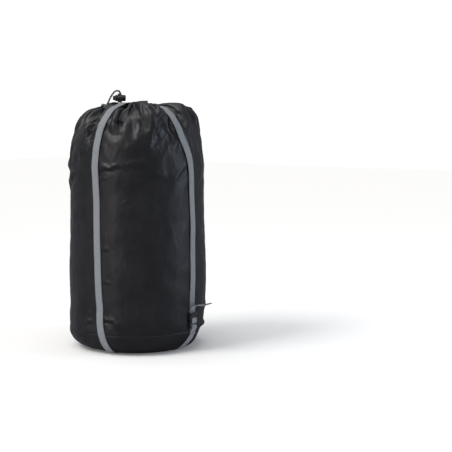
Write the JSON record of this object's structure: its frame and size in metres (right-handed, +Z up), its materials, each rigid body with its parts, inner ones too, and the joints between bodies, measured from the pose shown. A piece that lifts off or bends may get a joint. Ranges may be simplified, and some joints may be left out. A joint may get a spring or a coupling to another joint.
{
  "type": "compression sack",
  "caption": "Round stuffed fabric sack, gathered by a drawcord and cord lock, squeezed shorter by crossed webbing straps with ladder locks.",
  "frame": {"origin": "centre of the flat face under the base that the sack stands on", "axes": "+Z up along the sack's axis, +X towards the strap with the lock that faces right, -Y towards the unbroken front strap"},
  "size_m": [0.3734, 0.3275, 0.5258],
  "materials": {
    "sack_fabric": "tight plain-weave nylon with a faint sheen",
    "patch_fabric": "coated reinforcing fabric, matt",
    "binding_tape": "folded woven tape, matt",
    "webbing": "ribbed flat webbing, slight sheen",
    "thread": "polyester sewing thread",
    "drawcord": "braided cord with light flecks",
    "lock_plastic": "moulded acetal, satin",
    "button_plastic": "moulded acetal, satin",
    "spring_steel": "drawn wire",
    "eyelet_metal": "dark lacquered brass"
  },
  "bodies": {
    "base": {"base_panel": "sack_fabric", "base_patch": "patch_fabric", "base_seam_binding": "binding_tape", "sack_wall": "sack_fabric", "wall_seam_binding": "binding_tape", "right_strap_leg": "webbing", "back_strap_leg": "webbing", "left_strap_leg": "webbing", "front_strap_leg": "webbing", "right_lower_strap": "webbing", "back_lower_strap": "webbing", "left_lower_strap": "webbing", "front_lower_strap": "webbing", "loop_bar_tacks": "thread"},
    "crown": {"crown": "sack_fabric", "gathered_top": "sack_fabric", "drawcord_channel": "sack_fabric", "cord_eyelets": "eyelet_metal", "drawcord_in_channel": "drawcord", "drawcord_loop": "drawcord", "front_back_strap": "webbing", "left_right_strap": "webbing", "crossing_stitching": "thread"},
    "cord_lock": {"cord_lock_barrel": "lock_plastic", "cord_lock_spring": "spring_steel"},
    "cord_button": {"cord_lock_plunger": "button_plastic"},
    "right_lock": {"right_ladder_lock": "lock_plastic", "right_strap_tail": "webbing"},
    "back_lock": {"back_ladder_lock": "lock_plastic", "back_strap_tail": "webbing"},
    "left_lock": {"left_ladder_lock": "lock_plastic", "left_strap_tail": "webbing"}
  },
  "joints": [
    {"name": "compression", "type": "slide", "parent": "base", "child": "crown", "axis": [0, 0, -1], "range_m": [0, 0.19], "deforming": ["sack_wall", "wall_seam_binding", "right_strap_leg", "back_strap_leg", "left_strap_leg", "front_strap_leg"]},
    {"name": "cord_lock_slide", "type": "slide", "parent": "crown", "child": "cord_lock", "axis": [0, 0, 1], "range_m": [0, 0.003]},
    {"name": "cord_lock_press", "type": "slide", "parent": "cord_lock", "child": "cord_button", "axis": [0.7071, 0.7071, 0], "range_m": [0, 0.0035], "stiffness_N_per_m": 1500, "springref_m": -0.003, "deforming": ["cord_lock_spring"]},
    {"name": "right_lock_tilt", "type": "hinge", "parent": "base", "child": "right_lock", "pos_m": [0.1429, 0, 0.0525], "axis": [0, 1, 0], "range_deg": [0, 40]},
    {"name": "back_lock_tilt", "type": "hinge", "parent": "base", "child": "back_lock", "pos_m": [0, 0.1429, 0.0525], "axis": [-1, 0, 0], "range_deg": [0, 40]},
    {"name": "left_lock_tilt", "type": "hinge", "parent": "base", "child": "left_lock", "pos_m": [-0.1429, 0, 0.0525], "axis": [0, -1, 0], "range_deg": [0, 40]}
  ]
}
